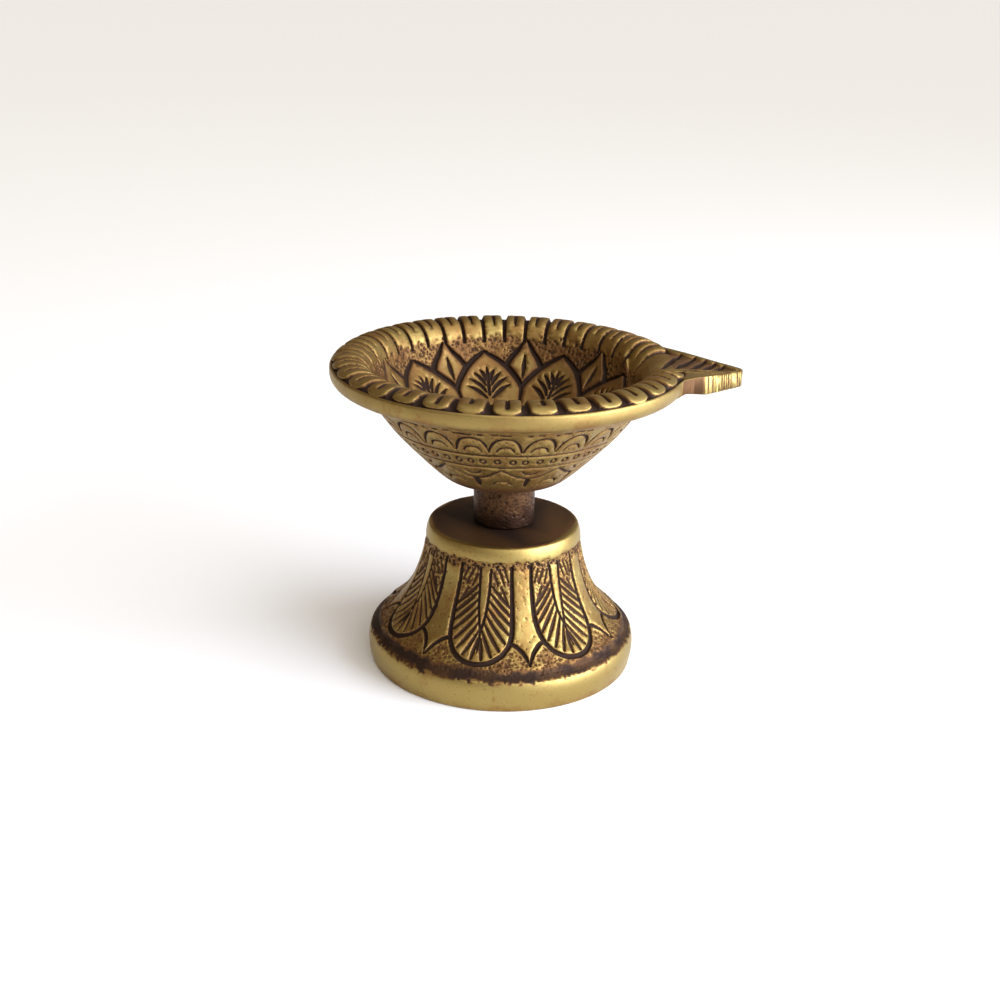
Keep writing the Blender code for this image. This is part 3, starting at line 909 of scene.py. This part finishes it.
def make_stem_tube():
    """A short tube with broken edges, pitted, dark at its ends, and with painted shade over its lower part.
    """
    low, high = DISC_TOP, SEAT
    outer, bore, edge = STEM_RADIUS, BORE_RADIUS, 0.35
    section = [(bore, high), (outer - edge, high), (outer, high - edge), (outer, low + edge)]
    section += [(outer - edge, low), (bore, low)]
    stem = Carving(mesh_of(spun(evenly(section, 0.14), 260)), [])
    height = stem.place[:, 2]
    found = np.flatnonzero(stem.radius > outer - 0.2)
    bearing, along, radius = stem.bearing[found], height[found] - low, stem.radius[found]
    stem.cut(found, dents(bearing, along, radius, 2.3, 0.36, 61), 0.16, 0.5)
    stem.cut(found, matting(bearing, along, radius, 62), 0.07, 0.2)
    stem.raised[found] += 0.07 * clouds(bearing, along, 2.2, 6.0, 63)
    # Painted shade: the lower few millimetres of the tube, above the disc, are darkened.
    painted_lower_shade = ease(4.6, 2.2, along + 1.2 * clouds(bearing, along, 1.8, 6.0, 64))
    stem.soil_and_shade(found, 0.26 * painted_lower_shade)
    length = high - low
    ends = 0.6 * ease(0.9, 0.2, along) + 0.8 * ease(length - 0.9, length - 0.1, along)
    stem.cut(found, ends, 0.04)
    return stem.finish(MOST_TRIANGLES)


def make_threaded_rod():
    """A rod with chamfered ends and a thread along its whole length."""
    low, high = ROD_LOW.z, ROD_HIGH.z
    crest, chamfer = ROD_HIGH.y + 0.2, 0.6
    section = [(0.0, high), (crest - chamfer, high), (crest, high - chamfer), (crest, low + chamfer)]
    section += [(crest - chamfer, low), (0.0, low)]
    rod = Carving(mesh_of(spun(evenly(section, 0.12)[:-1], 72)), [])
    height = rod.place[:, 2]
    depth = thread_depth(rod.bearing, height, THREAD_DEPTH) * (rod.radius > crest - 0.75)
    shrink = 1.0 - depth / np.maximum(rod.radius, 0.1)
    rod.place[:, :2] *= shrink[:, None]
    return rod.finish(MOST_TRIANGLES)


def make_washer():
    """A stamped washer, rounded on the side that the punch came from."""
    low, high = WASHER_LOW.z, WASHER_HIGH.z + GAP
    outer, bore = WASHER_HIGH.y, BORE_RADIUS
    section = [(bore, high), (outer - 0.15, high), (outer, high - 0.2), (outer, low + 0.5)]
    section += [(outer - 0.4, low + 0.08), (outer - 0.8, low), (bore + 0.12, low), (bore, low + 0.12)]
    return mesh_of(spun(section, 96))


def make_nut():
    """A hexagon cut from a disc with chamfered faces, with its threaded hole."""
    low, high = NUT_LOW.z, NUT_HIGH.z + GAP
    flats = NUT_HIGH.y - NUT_LOW.y
    corner = flats / math.sqrt(3)
    bore, chamfer, lead, rings = 2.98, 0.6, 0.5, 48
    section = [(bore + lead, high), (flats / 2 - 0.1, high), (corner, high - chamfer)]
    section += [(corner, low + chamfer), (flats / 2 - 0.1, low), (bore + lead, low), (bore, low + lead)]
    section += [(bore, low + lead + (high - low - 2 * lead) * i / rings) for i in range(1, rings + 1)]
    builder = spun(section, 96)
    for i in range(6):
        turn = math.radians(30 + 60 * i)
        across = Vector((math.cos(turn), math.sin(turn), 0.0))
        cut = bmesh.ops.bisect_plane(
            builder,
            geom=builder.verts[:] + builder.edges[:] + builder.faces[:],
            plane_co=across * flats / 2,
            plane_no=across,
            clear_outer=True,
        )["geom_cut"]
        edges = [item for item in cut if isinstance(item, bmesh.types.BMEdge)]
        bmesh.ops.contextual_create(builder, geom=edges)
    bmesh.ops.recalc_face_normals(builder, faces=builder.faces)
    for vert in builder.verts:
        radius = vert.co.xy.length
        if radius < bore + 0.01:
            bearing = math.degrees(math.atan2(vert.co.x, -vert.co.y))
            grow = thread_depth(np.array([bearing + 180.0]), np.array([vert.co.z]), 0.4)[0]
            vert.co.xy *= (radius + grow) / radius
    return mesh_of(builder)


# --- Settings ----------------------------------------------------------------------------------


def colour_property(name, description, hex_colour):
    colour = linear(hex_colour)
    return FloatVectorProperty(
        name=name, description=description, default=colour, min=0.0, max=1.0, size=3, subtype="COLOR"
    )


def millimetres(name, description, default):
    text = description + ", in millimetres"
    return FloatProperty(name=name, description=text, default=default, min=0.0, unit="NONE")


def metres(name, description, default):
    return FloatProperty(name=name, description=description, default=default, unit="LENGTH")


def degrees(name, description, default):
    turn = math.radians(default)
    return FloatProperty(name=name, description=description, default=turn, subtype="ANGLE")


class DiyaSizes(bpy.types.PropertyGroup):
    """Sizes in millimetres that the frame doesn't already fix."""

    grain: millimetres("Grain", "Size of the faces that the castings are carved in", 0.13)
    hole_depth: millimetres("Hole Depth", "Depth of the blind threaded hole under the bowl", 5.0)
    nose_radius: millimetres("Nose Radius", "Roundness of the spout's tip", 2.2)
    corner_radius: millimetres("Corner Radius", "Hollow corner between the spout and the rim", 6.0)
    half_angle: FloatProperty(
        name="Half Angle",
        description="Angle from the spout's middle line to its near side, in degrees",
        default=35.0,
    )


class DiyaFinish(bpy.types.PropertyGroup):
    """Colours of the metals and of the paper they stand on."""

    pale_brass: colour_property("Pale Brass", "Faces kept bright by handling", "9C874F")
    warm_brass: colour_property("Warm Brass", "Faces that have begun to tarnish", "886638")
    brown_brass: colour_property("Brown Brass", "Thin oxide round the cuts", "704F2C")
    oxide: colour_property("Oxide", "The dull coat in the cuts", "2C1A0D")
    copper_brown: colour_property("Copper Brown", "The heat-browned tube", "553A22")
    zinc: colour_property("Zinc", "Plating of the rod, washer and nut", "B4B6B8")
    paper: colour_property("Paper", "The floor", "F4F4F2")


class DiyaView(bpy.types.PropertyGroup):
    """Where the camera stands, measured from the lamp's own axis, and how strong the light is."""

    distance: metres("Distance", "From the axis to the camera", 0.2546)
    height: metres("Height", "Of the camera over the floor", 0.1306)
    aside: metres("Aside", "How far the camera stands to the left of the axis", 0.0008)
    tilt: degrees("Tilt", "Downwards", 21.19)
    roll: degrees("Roll", "About the line of sight", 1.45)
    lens: FloatProperty(name="Lens", description="Focal length in millimetres", default=50.87)
    overhead: FloatProperty(
        name="Overhead",
        description="Strength of the soft light from above",
        default=1.5,
    )
    window: FloatProperty(
        name="Window",
        description="Power of the window on the right",
        default=7.0,
        unit="POWER",
    )


# --- Operators ---------------------------------------------------------------------------------


class DIYA_OT_bowl(bpy.types.Operator):
    """Cast bowl with its carved ring, basin, wall and wick spout"""

    bl_idname = "diya.bowl"
    bl_label = "Bowl"

    def execute(self, context):
        brass = carved_brass("carved_cast_brass_bowl", context.scene.diya_finish)
        mesh = make_bowl_casting(context.scene.diya_sizes)
        add_piece("bowl_casting", mesh, brass, "bowl", "bowl")
        return {"FINISHED"}


class DIYA_OT_base(bpy.types.Operator):
    """Cast bell-shaped base with its feather carving and plain foot"""

    bl_idname = "diya.base"
    bl_label = "Base"

    def execute(self, context):
        brass = carved_brass("carved_cast_brass_base", context.scene.diya_finish)
        mesh = make_base_casting(context.scene.diya_sizes)
        add_piece("base_casting", mesh, brass, "base", "base_bell")
        return {"FINISHED"}


class DIYA_OT_stem(bpy.types.Operator):
    """Heat-browned tube between the base and the bowl"""

    bl_idname = "diya.stem"
    bl_label = "Stem"

    def execute(self, context):
        tube = browned_tube("heat_browned_brass_tube", context.scene.diya_finish)
        mesh = make_stem_tube()
        add_piece("stem_tube", mesh, tube, "stem", "stem_sleeve")
        return {"FINISHED"}


class DIYA_OT_fastening(bpy.types.Operator):
    """Threaded rod, washer and nut that hold the lamp together"""

    bl_idname = "diya.fastening"
    bl_label = "Fastening"

    def execute(self, context):
        zinc = dull_zinc("dull_zinc_plated_steel", context.scene.diya_finish)
        for name, node, make in (
            ("threaded_rod", "tie_rod", make_threaded_rod),
            ("washer", "flat_washer", make_washer),
            ("nut", "hex_nut", make_nut),
        ):
            piece = add_piece(name, make(), zinc, "base", node)
            piece.data.set_sharp_from_angle(angle=math.radians(35))
        return {"FINISHED"}


FLOOR_RADIUS = 12.0
SKY_ANGLE = math.radians(80)  # how wide the soft light above is
OVERHEAD_PLACE = Vector((0.3, -0.5, 0.8))
WINDOW_PLACE = Vector((0.42, -0.18, 0.1))
WINDOW_SIZE = 0.5
WINDOW_COLOUR = (0.94, 1.0, 1.22)
BRIGHT_SIDE = (0.85, -0.38, 0.35)
ROOM = ((0.0, (0.25, 0.165, 0.1)), (0.5, (0.4, 0.34, 0.27)), (1.0, (1.0, 1.0, 1.0)))


class DIYA_OT_stage(bpy.types.Operator):
    """Pale floor, soft studio light and the camera"""

    bl_idname = "diya.stage"
    bl_label = "Stage"

    def add_light(self, scene, name, kind, spot, aim, strength):
        light = bpy.data.lights.new(name, kind)
        light.energy = strength
        if kind == "SUN":
            light.angle = SKY_ANGLE
        lamp = bpy.data.objects.new(name, light)
        lamp.location = spot
        lamp.rotation_euler = (aim - spot).to_track_quat("-Z", "Y").to_euler()
        scene.collection.objects.link(lamp)
        return light

    def execute(self, context):
        scene, place = context.scene, context.scene.diya_view
        builder = bmesh.new()
        bmesh.ops.create_circle(builder, cap_ends=True, segments=96, radius=FLOOR_RADIUS)
        floor = bpy.data.objects.new("paper_floor", mesh_of(builder))
        floor.data.materials.append(pale_paper("matt_white_paper", scene.diya_finish))
        floor.location.z = -0.1 * MM
        scene.collection.objects.link(floor)

        camera = bpy.data.objects.new("camera", bpy.data.cameras.new("camera"))
        camera.data.lens = place.lens
        camera.data.sensor_width = 36.0
        camera.data.clip_start = 0.01
        turn = Matrix.Rotation(math.pi / 2 - place.tilt, 4, "X") @ Matrix.Rotation(place.roll, 4, "Z")
        stand = (AXIS_X * MM - place.aside, -place.distance, place.height)
        camera.matrix_world = Matrix.Translation(stand) @ turn
        scene.collection.objects.link(camera)
        scene.camera = camera

        middle = Vector((AXIS_X * MM, 0.0, 0.035))
        above = OVERHEAD_PLACE + middle
        self.add_light(scene, "overhead_light", "SUN", above, middle, place.overhead)
        window = self.add_light(scene, "window_light", "AREA", WINDOW_PLACE, middle, place.window)
        window.size = WINDOW_SIZE
        window.color = WINDOW_COLOUR

        # The room: dim behind and on the left of the lamp, bright in front on its right.
        world = bpy.data.worlds.new("studio")
        world.use_nodes = True
        tree = world.node_tree
        way = add_node(tree, "ShaderNodeTexCoord").outputs["Generated"]
        dot = {"operation": "DOT_PRODUCT"}
        side = add_node(tree, "ShaderNodeVectorMath", dot, i0=way, i1=BRIGHT_SIDE).outputs["Value"]
        level = add_node(tree, "ShaderNodeMapRange", Value=side, From_Min=-0.8, From_Max=0.9)
        shade = add_node(tree, "ShaderNodeValToRGB", Fac=level.outputs["Result"])
        set_ramp(shade, ROOM)
        tree.links.new(shade.outputs["Color"], tree.nodes["Background"].inputs["Color"])
        scene.world = world
        scene.view_settings.view_transform = "Standard"
        return {"FINISHED"}


class DIYA_PT_panel(bpy.types.Panel):
    """Lists the lamp's pieces"""

    bl_idname = "DIYA_PT_panel"
    bl_label = "Carved Brass Diya"
    bl_space_type = "VIEW_3D"
    bl_region_type = "UI"
    bl_category = "Diya"

    def draw(self, context):
        for operator in OPERATORS:
            self.layout.operator(operator.bl_idname)
        for group in ("diya_sizes", "diya_finish", "diya_view"):
            settings = getattr(context.scene, group)
            box = self.layout.box()
            for name in settings.__annotations__:
                box.prop(settings, name)


OPERATORS = (DIYA_OT_bowl, DIYA_OT_base, DIYA_OT_stem, DIYA_OT_fastening, DIYA_OT_stage)
GROUPS = {"diya_sizes": DiyaSizes, "diya_finish": DiyaFinish, "diya_view": DiyaView}


def register():
    for cls in (*GROUPS.values(), *OPERATORS, DIYA_PT_panel):
        bpy.utils.register_class(cls)
    for name, group in GROUPS.items():
        setattr(bpy.types.Scene, name, PointerProperty(type=group))


def unregister():
    for name in GROUPS:
        delattr(bpy.types.Scene, name)
    for cls in (DIYA_PT_panel, *reversed(OPERATORS), *reversed(GROUPS.values())):
        bpy.utils.unregister_class(cls)


def main():
    register()
    bpy.ops.diya.bowl()
    bpy.ops.diya.base()
    bpy.ops.diya.stem()
    bpy.ops.diya.fastening()
    bpy.ops.diya.stage()


if __name__ == "__main__":
    main()
